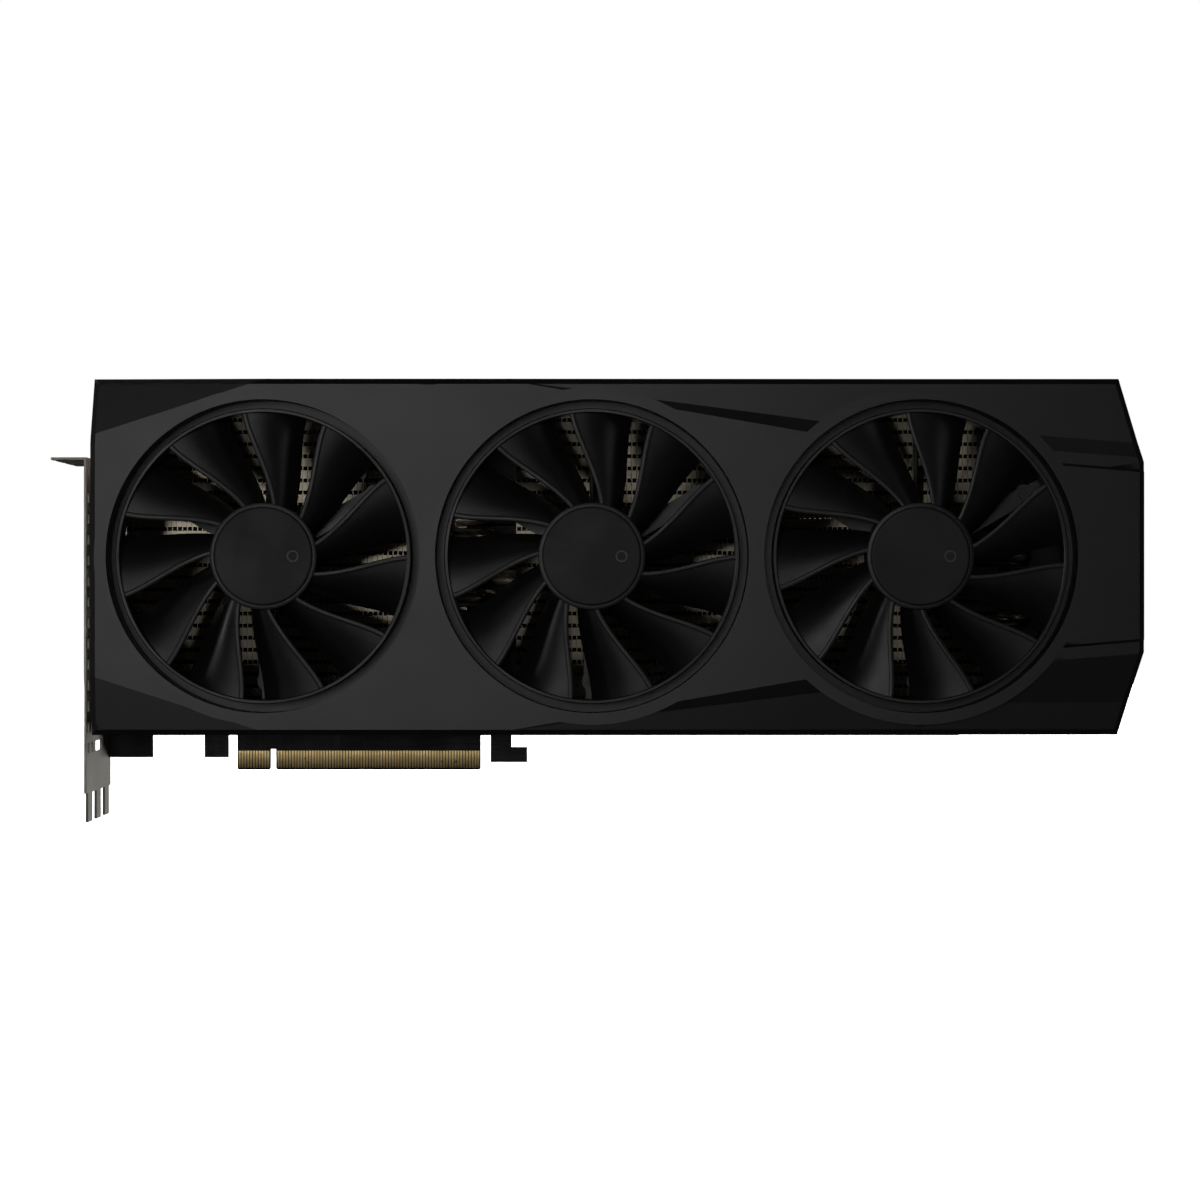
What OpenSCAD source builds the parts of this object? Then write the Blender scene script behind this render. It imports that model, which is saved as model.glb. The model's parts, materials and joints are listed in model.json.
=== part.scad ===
// Long graphics card with three fans, a triple-slot bracket and a full-length edge connector.
// Origin: middle of the connector's key notch, at the connector's lower edge, in the board's
// mid-plane. +X runs to the tail, +Z up to the power sockets, and the fans face -Y.

/* [Shroud] */
// Length of the shroud, bracket end to tail
shroud_len = 351.5; // [350:0.1:352]
// Height of the shroud
shroud_h = 118.9; // [118.5:0.1:119.5]
// Key notch to the shroud's bracket end
shroud_left = 55.6; // [55.4:0.1:56]
// Connector's lower edge up to the shroud's lower edge
shroud_bottom = 14.3; // [14.2:0.1:14.6]
// Board's mid-plane to the front of the shroud
shroud_front = 63; // [62.8:0.1:63.4]
// Board's mid-plane to the rear edge of the shroud's side walls
shroud_rear = 14; // [13.5:0.5:15]
// Wall of the moulding
shroud_wall = 2.2; // [2:0.1:2.4]
// Tail corner cut, along the length
tail_cut_x = 8.4; // [8:0.1:9]
// Tail corner cut, along the height
tail_cut_z = 27.8; // [27:0.1:28.5]

/* [Fans] */
// Distance between neighbouring fans
fan_pitch = 109.6; // [109.4:0.1:110]
// Key notch to the first fan's axis
fan_first_x = 2.1; // [1.5:0.1:2.5]
// Height of the fan axes
fan_z = 74; // [73.5:0.1:74.5]
// Radius of the shroud's openings
duct_r = 52.25; // [52:0.05:52.4]
// Outer radius of the rotor's ring
ring_r = 49.3; // [48.9:0.1:49.6]
// Outer radius of the rotor's hub
hub_r = 17.9; // [17.6:0.1:18.2]
// Number of blades
blades = 11; // [9:1:13]
// How far the leading edge sweeps from hub to ring, in degrees
sweep = 18; // [15:1:21]
// How far a blade reaches behind its leading edge, in degrees
blade_span = 25.5; // [24:0.5:26]
// Shaft radius
shaft_r = 1.5; // [1.4:0.05:1.6]
// Radial clearance of the shaft in its bearing
shaft_gap = 0.03; // [0.01:0.01:0.08]

/* [Board] */
// Thickness of the circuit board
board_t = 1.6; // [1.5:0.1:1.6]
// Key notch to the board's tail end
board_right = 240; // [236:1:242]
// Upper edge of the board
board_top = 124; // [123.8:0.1:124.2]
// Key notch to the processor's centre
gpu_x = 38; // [37.5:0.1:38.5]
// Connector's lower edge up to the processor's centre
gpu_z = 72; // [71.5:0.1:72.5]

/* [Connector] */
// Width of the key notch
key_w = 1.9; // [1.85:0.05:1.95]
// Length of the short finger
short_finger = 11.65; // [11.6:0.05:11.7]
// Length of the long finger
long_finger = 71.65; // [71.6:0.05:71.7]
// Distance between neighbouring contacts
contact_pitch = 1; // [1:0.1:1]

/* [Bracket] */
// Key notch to the bracket's outer face
bracket_left = 58.4; // [58.2:0.1:58.6]
// Sheet thickness of the bracket
bracket_t = 0.9; // [0.8:0.05:1]
// Distance between neighbouring slots
slot_pitch = 20.32; // [20.32:0.01:20.32]
// Width of one slot's cover
slot_w = 18.42; // [18.4:0.01:18.45]
// Underside of the screw tab
tab_z = 106.3; // [106:0.1:106.6]
// Length of the screw tab, from the outer face
tab_len = 11.1; // [10.8:0.1:11.4]
// Width of the screw notches
tab_notch = 4.42; // [4.4:0.01:4.5]
// Depth of the tongue tips below the connector's lower edge
tongue_tip = 15.3; // [15:0.1:15.6]

/* [Cooler] */
// Front face of the fin stacks
fin_front = 40.8; // [40.6:0.1:41]
// Rear face of the fin stacks
fin_rear = 8.4; // [8.4:0.1:8.4]
// Distance between neighbouring fins
fin_pitch = 4; // [3.5:0.5:5]
// Thickness of one fin
fin_t = 0.6; // [0.5:0.1:0.8]
// Radius of a heat pipe
pipe_r = 3; // [2.8:0.1:3]
// Number of heat pipes
pipes = 6; // [4:1:6]

/* [Hidden] */
$fn = 96;

// A cut goes this far past the face that it opens
over = 1;

// Shroud
x_left = -shroud_left;
x_right = x_left + shroud_len;
z_low = shroud_bottom;
z_high = z_low + shroud_h;
y_front = -shroud_front;
y_face = y_front + shroud_wall;
bevel = 1.6;
tail_cut = [tail_cut_x, tail_cut_z];
// Sloping corners of the front: a point on the crease, its direction and the slope, in degrees
facets = [[[-55, 113], 19.7, 7], [[-55, 33], 163, 7], [[208, 114], -8.5, 3], [[208, 34.5], 188.5, 3]];
tail_x0 = 254;
duct_wall = 1.6;
duct_rear = -41.3;
y_ledge = [-48.4, -46.6];
vent_w = 26;
vent_pitch = 34;
vents = 10;

// Fan stations along -Y, front to back
y_cap = -61.7;
y_hub = -61.2;
y_hub_wall = -59.6;
y_hub_rear = -47;
y_ring = [-61, -50];
y_blade_front = -60.3;
y_blade_rear = [-48.8, -50.8];
y_boss = -57.8;
y_base = [-45.5, -43.5];
ring_t = 1.4;
blade_t = 1.3;
// Where each rotor stands at rest, in degrees
fan_turn = [0.5, 0.8, -2.5];
y_magnet = [-58.8, -48.5];
y_bearing = [-57.2, -46.8];
y_tube = -56.9;
y_stator = [-55.5, -50];
y_coil = [-56.7, -48.8];
y_shaft_rear = -46.2;
hub_wall = 1.4;
hub_chamfer = 1.3;
arm_r = 42;
arm_angles = [30, 150, 270];
bearing_r = 3;
tube_r = 4.1;
magnet_t = 1.5;
stator_r = 14;
poles = 6;
yoke_r = 6.6;
tooth_w = 1.6;

// Board
gpu_at = [gpu_x, gpu_z];
y_board = [-board_t / 2, board_t / 2];
board_left = -57.4;
board_low = 12;
tab_low = 4.3;
y_parts = y_board[0];
package_w = 45;
package_t = 1.4;
die_t = 0.75;
y_die = y_parts - package_t - die_t;
memory_t = 1.1;
pad_t = 1.1;
y_plate = y_parts - memory_t - pad_t;
plate_t = 1.6;
plate_window = 62;
cold_w = 60;
retention_r = 26.5;

// Back plate and its screws
y_back = [2.6, 4.8];
window_w = 58;
screw_r = 1.25;
head_r = 2.6;
head_t = 1.3;
plate_posts = [[-18, 28], [94, 28], [-18, 118], [94, 118]];
shroud_posts = [[-50.5, 119], [-42, 21], [76, 119], [76, 21], [166.5, 21]];
tail_posts = [[276, 117], [276, 30]];
all_posts = concat(plate_posts, shroud_posts, tail_posts);

// Bracket
x_bracket = [-bracket_left, -bracket_left + bracket_t];
slot_first_y = -6.1;
tongue_w = 10.19;
vent_rows = [[[-7.5, 7.5]], [[-6.6, -1.8], [1.8, 6.6]]];
flange_x = -53.5;
flange_z = [17, 103.4];
tongue_top = -5.5;

// Display sockets, centres along the height, and their size
hdmi_z = 30;
display_z = [50, 70, 90];
hdmi_size = [12, 6, 15];
display_size = [18, 7, 17.5];

// Power sockets
socket_x = [150, 171];
socket_size = [18.6, 10.4, 14.4];
socket_y = -11.2;
socket_z = board_top - 13.9;
cell = 3.5;
cell_pitch = 4.2;
cell_depth = 9;
pin_w = 1;

// Firmware switch
switch_x = 116;
switch_travel = 2;

// Cooler
main_x = [-46, 66];
tail_x = [86, 250];
fin_z = [22, 126];
base_t = 1.6;
pipe_pitch = 7;
pipe_mid_z = 70.6;
bend_r = 9;
pipe_y = -fin_rear - pipe_r;
pipe_fit = 0.05;

// Fan leads
lead_r = 0.9;
lead_z = 128.5;
lead_y = -42.3;
header_x = [137, 141, 145];
lane_y = [-20, -23, -20];

function fan_x(n) = fan_first_x + (n - 1) * fan_pitch;
function slot_y(n) = slot_first_y - n * slot_pitch;
function pipe_z(k) = pipe_mid_z + (k - (pipes - 1) / 2) * pipe_pitch;
function ring_xz(x, z, r, a) = [x + r * cos(a), z + r * sin(a)];

// ---- Helpers ----

// A block between pairs of limits
module block(x, y, z) {
    translate([x[0], y[0], z[0]]) cube([x[1] - x[0], y[1] - y[0], z[1] - z[0]]);
}

// A round bar along Y, through the point x, z
module rod_y(x, z, y, r) {
    translate([x, y[0], z]) rotate([-90, 0, 0]) cylinder(h = y[1] - y[0], r = r);
}

// A round bar along X, through the point y, z
module rod_x(x, y, z, r) {
    translate([x[0], y, z]) rotate([0, 90, 0]) cylinder(h = x[1] - x[0], r = r);
}

// A flat shape drawn in X and Z, with a thickness between two Y limits
module slab(y) {
    translate([0, y[1], 0]) rotate([90, 0, 0]) linear_extrude(y[1] - y[0]) children();
}

// The card's outline, seen from the front, drawn in by a margin
module card_outline(inset = 0) {
    polygon([
        [x_left + inset, z_low + inset],
        [x_right - tail_cut[0] - inset, z_low + inset],
        [x_right - inset, z_low + tail_cut[1]],
        [x_right - inset, z_high - tail_cut[1]],
        [x_right - tail_cut[0] - inset, z_high - inset],
        [x_left + inset, z_high - inset]
    ]);
}

// ---- Shroud, back plate and bracket ----

// Removes what stands in front of the sloping corners
module sloped() {
    difference() {
        children();
        for (f = facets)
            translate([f[0][0], y_front, f[0][1]]) rotate([0, -f[1], 0]) rotate([-f[2], 0, 0])
                block([-200, 200], [-20, 0], [0, 80]);
    }
}

module shroud_shell() {
    difference() {
        sloped() union() {
            slab([y_front + bevel, -shroud_rear]) card_outline();
            slab([y_front, y_front + bevel]) card_outline(bevel);
            // The tail reaches back to the rear plate
            intersection() {
                slab([-shroud_rear - over, y_back[0]]) card_outline();
                block([tail_x0, x_right], [-shroud_rear - over, y_back[0]], [z_low, z_high]);
            }
        }
        translate([0, shroud_wall, 0])
            sloped() slab([y_front, y_back[0]]) card_outline(shroud_wall);
        // The bracket end is open behind the face
        block([x_left - over, x_left + 2 * shroud_wall], [y_face, 0],
            [z_low + shroud_wall, z_high - shroud_wall]);
    }
}

// Vents through the upper and lower walls
module shroud_vents() {
    for (k = [0 : vents - 1], z = [z_low, z_high - shroud_wall])
        translate([x_left + 10 + k * vent_pitch, 0, 0])
            block([0, vent_w], [-38, -20], [z - over, z + shroud_wall + over]);
}

// Vents through the tail wall
module tail_vents() {
    for (k = [-2 : 2])
        translate([0, 0, (z_low + z_high) / 2 + k * 10])
            block([x_right - 6, x_right + over], [-50, -20], [-1.8, 1.8]);
}

module duct(n) {
    difference() {
        rod_y(fan_x(n), fan_z, [y_face - 0.5, duct_rear], duct_r + duct_wall);
        block([fan_x(n) - 2, fan_x(n) + 2], [-43.6, duct_rear + over],
            [fan_z + duct_r - 4, fan_z + duct_r + 4]);
    }
}

// Ledge that closes the gap behind the rotor's ring
module duct_ledge(n) {
    difference() {
        rod_y(fan_x(n), fan_z, y_ledge, duct_r + duct_wall / 2);
        rod_y(fan_x(n), fan_z, y_ledge + [-over, over], ring_r - 0.9);
    }
}

// Ribs that carry one fan's frame
module fan_ribs(n) {
    for (a = arm_angles) {
        at = ring_xz(fan_x(n), fan_z, arm_r, a);
        rod_y(at[0], at[1], [y_base[1], duct_rear], 3);
        translate([fan_x(n), 0, fan_z]) rotate([0, -a, 0])
            block([arm_r, duct_r + 0.8], [y_base[1], duct_rear], [-2, 2]);
    }
}

module front_shroud() {
    color("#2b2c2e")
    difference() {
        union() {
            shroud_shell();
            difference() {
                for (n = [1 : 3]) duct(n);
                for (n = [1 : 3]) rod_y(fan_x(n), fan_z, [y_front, 0], duct_r);
            }
            for (n = [1 : 3]) fan_ribs(n);
            for (n = [1 : 3]) duct_ledge(n);
            for (p = shroud_posts) rod_y(p[0], p[1], [y_face - 0.5, y_board[0]], 3);
            for (p = tail_posts) rod_y(p[0], p[1], [y_face - 0.5, y_back[0]], 3);
        }
        for (n = [1 : 3]) {
            rod_y(fan_x(n), fan_z, [y_front - over, y_ledge[0]], duct_r);
            for (a = arm_angles) {
                at = ring_xz(fan_x(n), fan_z, arm_r, a);
                rod_y(at[0], at[1], [y_base[1] - over, 0], 1);
            }
        }
        for (p = concat(shroud_posts, tail_posts))
            rod_y(p[0], p[1], [y_board[0] - 8, y_back[1]], screw_r);
        shroud_vents();
        tail_vents();
    }
}

module back_plate() {
    color("#303134")
    difference() {
        union() {
            slab(y_back) card_outline(1);
            for (p = concat(plate_posts, shroud_posts))
                rod_y(p[0], p[1], [y_board[1], y_back[0] + 0.2], 3);
        }
        block([gpu_at[0] - window_w / 2, gpu_at[0] + window_w / 2], [0, y_back[1] + over],
            [gpu_at[1] - window_w / 2, gpu_at[1] + window_w / 2]);
        for (p = all_posts) {
            rod_y(p[0], p[1], [0, y_back[1] + over], screw_r);
            rod_y(p[0], p[1], [y_back[1] - head_t, y_back[1] + over], head_r);
        }
        // Slanted vents over the power stages
        for (k = [0 : 8], z = [52, 96])
            translate([136 + k * 8, 0, z]) rotate([0, 20, 0])
                block([-1.8, 1.8], [y_back[0] - over, y_back[1] + over], [-15, 15]);
    }
}

module bracket_face() {
    low_y = slot_y(2) - slot_w / 2;
    high_y = slot_y(0) + slot_w / 2;
    block(x_bracket, [low_y, high_y], [tongue_top, tab_z + bracket_t]);
    block([-bracket_left - tab_len, x_bracket[1]], [low_y, high_y], [tab_z, tab_z + bracket_t]);
    for (n = [0 : 2])
        block(x_bracket, [slot_y(n) - tongue_w / 2, slot_y(n) + tongue_w / 2],
            [-tongue_tip, tongue_top + over]);
    // Flanges that lie on the board
    for (z = flange_z)
        block([x_bracket[0], -50.5], [y_board[0] - bracket_t, y_board[0]], [z - 2.9, z + 2.9]);
}

module io_bracket() {
    color("#8d8a84")
    difference() {
        bracket_face();
        // Windows for the sockets
        block([-60, -56], [-0.8 - hdmi_size[1] - 0.4, -0.9],
            [hdmi_z - hdmi_size[2] / 2 - 0.3, hdmi_z + hdmi_size[2] / 2 + 0.3]);
        for (z = display_z)
            block([-60, -56], [-0.8 - display_size[1] - 0.4, -0.9],
                [z - display_size[2] / 2 - 0.3, z + display_size[2] / 2 + 0.3]);
        // Vents of the second and third slots
        for (n = [1, 2], row = vent_rows[n - 1], k = [0 : 12])
            block([-60, -56], [slot_y(n) + row[0], slot_y(n) + row[1]],
                [8 + k * 7, 11.4 + k * 7]);
        // Screw notches, open at the tab's outer edge
        for (n = [0 : 2]) {
            block([-bracket_left - tab_len - over, -bracket_left - 6.2],
                [slot_y(n) - tab_notch / 2, slot_y(n) + tab_notch / 2], [tab_z - 1, tab_z + 2]);
            translate([-bracket_left - 6.2, slot_y(n), tab_z - over])
                cylinder(h = 3, r = tab_notch / 2);
        }
        for (z = flange_z) rod_y(flange_x, z, [-4, 0], 1.6);
    }
}

// ---- Board ----

module board_outline() {
    key = key_w / 2;
    polygon([
        [board_left, tab_low], [-42.2, tab_low], [-42.2, board_low],
        [-24.1, board_low], [-24.1, tab_low], [-15.7, tab_low], [-15.7, 15.5],
        [-key - short_finger, 15.5], [-key - short_finger, 0.5],
        [-key - short_finger + 0.5, 0], [-key - 0.5, 0], [-key, 0.5], [-key, 7.2],
        [key, 7.2], [key, 0.5], [key + 0.5, 0], [key + long_finger - 0.5, 0],
        [key + long_finger, 0.5], [key + long_finger, board_low],
        [76.1, board_low], [76.1, 2.6], [88.9, 2.6], [88.9, 7.9], [83.4, 7.9],
        [83.4, board_low], [board_right, board_low], [board_right, board_top],
        [board_left, board_top]
    ]);
}

module circuit_board() {
    color("#151616")
    difference() {
        slab(y_board) board_outline();
        for (p = concat(plate_posts, shroud_posts))
            rod_y(p[0], p[1], [-over, over], screw_r);
        for (x = [-1, 1], z = [-1, 1])
            rod_y(gpu_at[0] + x * retention_r, gpu_at[1] + z * retention_r, [-over, over], 1.6);
        for (z = flange_z) rod_y(flange_x, z, [-over, over], screw_r);
        // Bevel of the connector's lower edge, front and rear
        for (side = [-1, 1])
            translate([-20, side * board_t / 2, 0]) rotate([side * 17, 0, 0])
                block([0, 95], [-0.35, 0.35] + [side, side] * 0.35, [-2, 1.25]);
    }
}

// One row of contacts on each side of each finger
module edge_contacts() {
    color("#b8892f")
    for (side = [-1, 1]) {
        for (k = [0 : 10]) contact(-key_w / 2 - 0.85 - k * contact_pitch, side);
        for (k = [0 : 70]) contact(key_w / 2 + 0.85 + k * contact_pitch, side);
    }
}

module contact(x, side) {
    y = side > 0 ? [y_board[1], y_board[1] + 0.05] : [y_board[0] - 0.05, y_board[0]];
    block([x - 0.35, x + 0.35], y, [1.4, 6.6]);
}

module gpu_package() {
    color("#2f5a3a")
    translate([gpu_at[0], y_parts - package_t / 2, gpu_at[1]])
        cube([package_w, package_t, package_w], center = true);
}

module gpu_die() {
    color("#8f98a0")
    translate([gpu_at[0], y_parts - package_t - die_t / 2, gpu_at[1]])
        cube([24, die_t, 20], center = true);
}

// A small part on the board's front, given by its centre, size and height
module chip(x, z, w, h, t) {
    block([x - w / 2, x + w / 2], [y_parts - t, y_parts], [z - h / 2, z + h / 2]);
}

module at_memory() {
    for (k = [0 : 3], x = [-3, 79]) translate([x, 0, 50 + k * 15]) children();
    for (x = [18, 38, 58]) translate([x, 0, 111]) children();
}

module at_power_stages() {
    for (k = [0 : 7], x = [-17, 92]) translate([x, 0, 35 + k * 10.5]) children();
}

module memory_chips() {
    color("#1c1d1f") at_memory() chip(0, 0, 12, 12, memory_t);
}

module power_stages() {
    color("#202124") at_power_stages() chip(0, 0, 5.5, 6, memory_t);
}

module power_chokes() {
    color("#4a4b4e")
    for (k = [0 : 7], x = [-28, 105]) translate([x, 0, 35 + k * 10.5]) chip(0, 0, 8, 8, 4.4);
}

module capacitors() {
    color("#55585c")
    for (k = [0 : 9], x = [115, 123])
        rod_y(x, 32 + k * 8.5, [y_parts - 5.8, y_parts], 3);
}

module power_sockets() {
    color("#101113")
    for (x = socket_x) translate([x, socket_y, socket_z]) difference() {
        cube(socket_size);
        for (i = [-1.5 : 1.5], j = [-0.5, 0.5])
            translate([socket_size[0] / 2 + i * cell_pitch, socket_size[1] / 2 + j * cell_pitch, 0]) {
                block([-cell / 2, cell / 2], [-cell / 2, cell / 2],
                    [socket_size[2] - cell_depth, socket_size[2] + over]);
                block([-pin_w / 2, pin_w / 2], [-pin_w / 2, pin_w / 2],
                    [-over, socket_size[2]]);
            }
    }
}

module power_pins() {
    color("#c9c6bd")
    for (x = socket_x, i = [-1.5 : 1.5], j = [-0.5, 0.5])
        translate([x + socket_size[0] / 2 + i * cell_pitch,
                socket_y + socket_size[1] / 2 + j * cell_pitch, socket_z])
            block([-pin_w / 2, pin_w / 2], [-pin_w / 2, pin_w / 2], [-1, socket_size[2] - 2]);
}

module fan_header() {
    color("#d8d4c8") block([134, 148], [-6.6, y_parts], [116, 121.5]);
}

// ---- Display sockets ----

// A metal shell with its mouth on the bracket side
module socket_shell(z, size, t) {
    x = [-57.3, -57.3 + size[0]];
    y = [y_parts - size[1], y_parts];
    difference() {
        block(x, y, [z - size[2] / 2, z + size[2] / 2]);
        block([x[0] - over, x[1] - t], [y[0] + t, y[1] - t],
            [z - size[2] / 2 + t, z + size[2] / 2 - t]);
    }
}

module hdmi_socket() { color("#b9b7b0") socket_shell(hdmi_z, hdmi_size, 0.6); }
module display_socket(n) { color("#b9b7b0") socket_shell(display_z[n - 1], display_size, 0.8); }

module socket_tongues() {
    color("#1a1a1a") {
        block([-55.5, -57.3 + hdmi_size[0] - 0.6], [-4.3, -3.3], [hdmi_z - 5.6, hdmi_z + 5.6]);
        for (z = display_z)
            block([-55.5, -57.3 + display_size[0] - 0.8], [-4.9, -3.7], [z - 6.4, z + 6.4]);
    }
}

// ---- Firmware switch ----

module switch_housing() {
    color("#e0ded6")
    difference() {
        block([switch_x, switch_x + 8], [-4.4, y_parts], [120.5, 124.5]);
        block([switch_x + 1.4, switch_x + 6.6], [-3.6, -1.6], [121.5, 123.7]);
        block([switch_x + 2.2, switch_x + 5.8], [-3.3, -1.9], [122, 125.5]);
    }
}

module switch_slider() {
    color("#f0efe8") {
        block([switch_x + 1.45, switch_x + 4.55], [-3.5, -1.7], [121.6, 123.6]);
        block([switch_x + 2.3, switch_x + 5.7 - switch_travel], [-3.2, -2], [123.6, 126.4]);
    }
}

// ---- Cooler ----

module cold_plate() {
    color("#c4c1bb")
    difference() {
        union() {
            block([gpu_at[0] - cold_w / 2, gpu_at[0] + cold_w / 2], [-fin_rear, y_die],
                [gpu_at[1] - cold_w / 2, gpu_at[1] + cold_w / 2]);
            for (x = [-1, 1], z = [-1, 1])
                rod_y(gpu_at[0] + x * retention_r, gpu_at[1] + z * retention_r,
                    [y_die - 0.5, y_parts], 2.6);
        }
        for (x = [-1, 1], z = [-1, 1])
            rod_y(gpu_at[0] + x * retention_r, gpu_at[1] + z * retention_r, [-6, over], screw_r);
    }
}

// Where pipe k starts, and where it turns back: short ones in the main stack, long ones in both
function is_short(k) = k % 3 == 1;
function pipe_start(k) = is_short(k) ? main_x[0] + 6 : gpu_at[0] - cold_w / 2;
function pipe_turn(k) = is_short(k) ? main_x[1] + 1 : tail_x[1] + 1;
function pipe_end(k) = is_short(k) ? main_x[0] + 6 : tail_x[0] + 8;

// One pipe: a low run over the cold plate, a half-turn past the fins, and a high run back
module pipe(k, r, run_past = 0) {
    rod_x([pipe_start(k) - run_past, pipe_turn(k) + run_past], pipe_y, pipe_z(k), r);
    rod_x([pipe_end(k) - run_past, pipe_turn(k) + run_past], pipe_y - 2 * bend_r, pipe_z(k), r);
    if (run_past == 0)
        translate([pipe_turn(k), pipe_y - bend_r, pipe_z(k)]) rotate(-90)
            rotate_extrude(angle = 180) translate([bend_r, 0]) circle(r = r);
}

module heat_pipes() {
    color("#b0743f") for (k = [0 : pipes - 1]) pipe(k, pipe_r);
}

// A row of fins, held by the folded edges along their rear
module fin_stack(x) {
    count = floor((x[1] - x[0] - fin_t) / fin_pitch);
    difference() {
        union() {
            block(x, [-fin_rear - base_t, -fin_rear], fin_z);
            for (k = [0 : count]) translate([x[0] + k * fin_pitch, 0, 0])
                block([0, fin_t], [-fin_front, -fin_rear], fin_z);
        }
        for (k = [0 : pipes - 1]) pipe(k, pipe_r + pipe_fit, over);
        // Room round the screw posts of the shroud, and for the power sockets
        for (p = shroud_posts) rod_y(p[0], p[1], [-fin_front - over, 0], 4);
        block([socket_x[0] - 4, socket_x[1] + socket_size[0] + 4], [-18, 0], [106, 130]);
    }
}

module fin_stack_main() { color("#b9ad97") fin_stack(main_x); }
module fin_stack_tail() { color("#b9ad97") fin_stack(tail_x); }

module memory_plate() {
    color("#3a3b3e")
    difference() {
        union() {
            block([-22, 98], [y_plate - plate_t, y_plate], [24, 122]);
            for (p = plate_posts) rod_y(p[0], p[1], [y_plate - 0.5, y_parts], 3);
        }
        block([gpu_at[0] - plate_window / 2, gpu_at[0] + plate_window / 2],
            [y_plate - plate_t - over, 0],
            [gpu_at[1] - plate_window / 2, gpu_at[1] + plate_window / 2]);
        for (p = plate_posts) rod_y(p[0], p[1], [y_plate - plate_t - over, 0], screw_r);
        for (p = shroud_posts) rod_y(p[0], p[1], [-fin_front, 0], 3.6);
    }
}

module thermal_pads() {
    color("#8fa9b8") {
        at_memory() block([-5.5, 5.5], [y_plate, y_plate + pad_t], [-5.5, 5.5]);
        at_power_stages() block([-2.5, 2.5], [y_plate, y_plate + pad_t], [-3, 3]);
    }
}

// Sprung cross on the rear, which pulls the cold plate onto the die
module retention_plate() {
    color("#77797c")
    difference() {
        translate([gpu_at[0], 0, gpu_at[1]]) {
            rod_y(0, 0, [0.9, 2.1], 14);
            for (a = [45, 135]) rotate([0, a, 0])
                block([-41.4, 41.4], [0.9, 2.1], [-3.5, 3.5]);
        }
        for (x = [-1, 1], z = [-1, 1])
            rod_y(gpu_at[0] + x * retention_r, gpu_at[1] + z * retention_r, [0, 3], 1.4);
        rod_y(gpu_at[0], gpu_at[1], [0, 3], 8);
    }
}

// ---- Screws ----

// A screw along Y with its head at y_head, tip at y_tip, and a six-sided socket in the head
module screw_y(x, z, y_head, y_tip, r, r_head, t_head) {
    up = y_head > y_tip ? 1 : -1;
    head = up > 0 ? [y_head - t_head, y_head] : [y_head, y_head + t_head];
    shank = up > 0 ? [y_tip, y_head - t_head] : [y_head + t_head, y_tip];
    drive = up > 0 ? [y_head - t_head * 0.6, y_head + over] : [y_head - over, y_head + t_head * 0.6];
    difference() {
        union() {
            rod_y(x, z, head, r_head);
            rod_y(x, z, shank, r);
        }
        translate([x, drive[0], z]) rotate([-90, 0, 0])
            cylinder(h = drive[1] - drive[0], r = r_head * 0.5, $fn = 6);
    }
}

module retention_screws() {
    color("#9a9c9f")
    for (x = [-1, 1], z = [-1, 1])
        screw_y(gpu_at[0] + x * retention_r, gpu_at[1] + z * retention_r,
            3.9, -5.5, screw_r, 2.3, 1.8);
}

module back_plate_screws() {
    color("#1d1e20")
    for (p = plate_posts) screw_y(p[0], p[1], y_back[1], -4.4, screw_r, head_r, head_t);
}

module shroud_screws() {
    color("#1d1e20")
    for (p = concat(shroud_posts, tail_posts))
        screw_y(p[0], p[1], y_back[1], -8, screw_r, head_r, head_t);
}

module bracket_screws() {
    color("#9a9c9f")
    for (z = flange_z) screw_y(flange_x, z, -3.2, 0.7, screw_r, 2.4, 1.5);
}

module fan_screws() {
    color("#9a9c9f")
    for (n = [1 : 3], a = arm_angles) {
        at = ring_xz(fan_x(n), fan_z, arm_r, a);
        screw_y(at[0], at[1], y_base[0] - 1.2, duct_rear - 0.2, 1, 2, 1.2);
    }
}

// ---- Fans ----

// Lead of fan n: up behind the frame, back over the fins, along the top and down to the header
function lead_route(n) = [
    [fan_x(n), lead_y, fan_z + 12],
    [fan_x(n), lead_y, lead_z],
    [fan_x(n), lane_y[n - 1], lead_z],
    [header_x[n - 1], lane_y[n - 1], lead_z],
    [header_x[n - 1], -4, lead_z],
    [header_x[n - 1], -4, 121.5]
];

// A straight bar between two points that share two coordinates
module bar(a, b, r) {
    low = [min(a[0], b[0]), min(a[1], b[1]), min(a[2], b[2])];
    d = [abs(b[0] - a[0]), abs(b[1] - a[1]), abs(b[2] - a[2])];
    turn = d[0] > 0 ? [0, 90, 0] : d[1] > 0 ? [-90, 0, 0] : [0, 0, 0];
    translate(low) rotate(turn) cylinder(h = max(d), r = r, $fn = 24);
}

module fan_leads() {
    color("#141414")
    for (n = [1 : 3]) {
        route = lead_route(n);
        for (k = [0 : len(route) - 2]) bar(route[k], route[k + 1], lead_r);
        for (k = [1 : len(route) - 2]) translate(route[k]) sphere(r = lead_r * 1.12, $fn = 24);
    }
}

// A point of a blade: s runs from hub to ring, t from the leading edge to the trailing edge
blade_root = hub_r - 0.7;
blade_tip = ring_r - 0.7;
rows = 5;
cols = 4;
sweep_curve = 1.77;
function blade_angle(s, t) = -sweep * pow(1 - s, sweep_curve) - blade_span * t * (0.94 + 0.06 * s);
function blade_y(s, t) =
    y_blade_front + (y_blade_rear[0] * (1 - s) + y_blade_rear[1] * s - blade_t - y_blade_front)
        * (0.2 * t + 0.15 * t ^ 2 + 0.65 * t ^ 3);
function blade_point(s, t, back) =
    let (r = blade_root + (blade_tip - blade_root) * s, a = blade_angle(s, t))
    [r * cos(a), blade_y(s, t) + back * blade_t, r * sin(a)];

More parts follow.
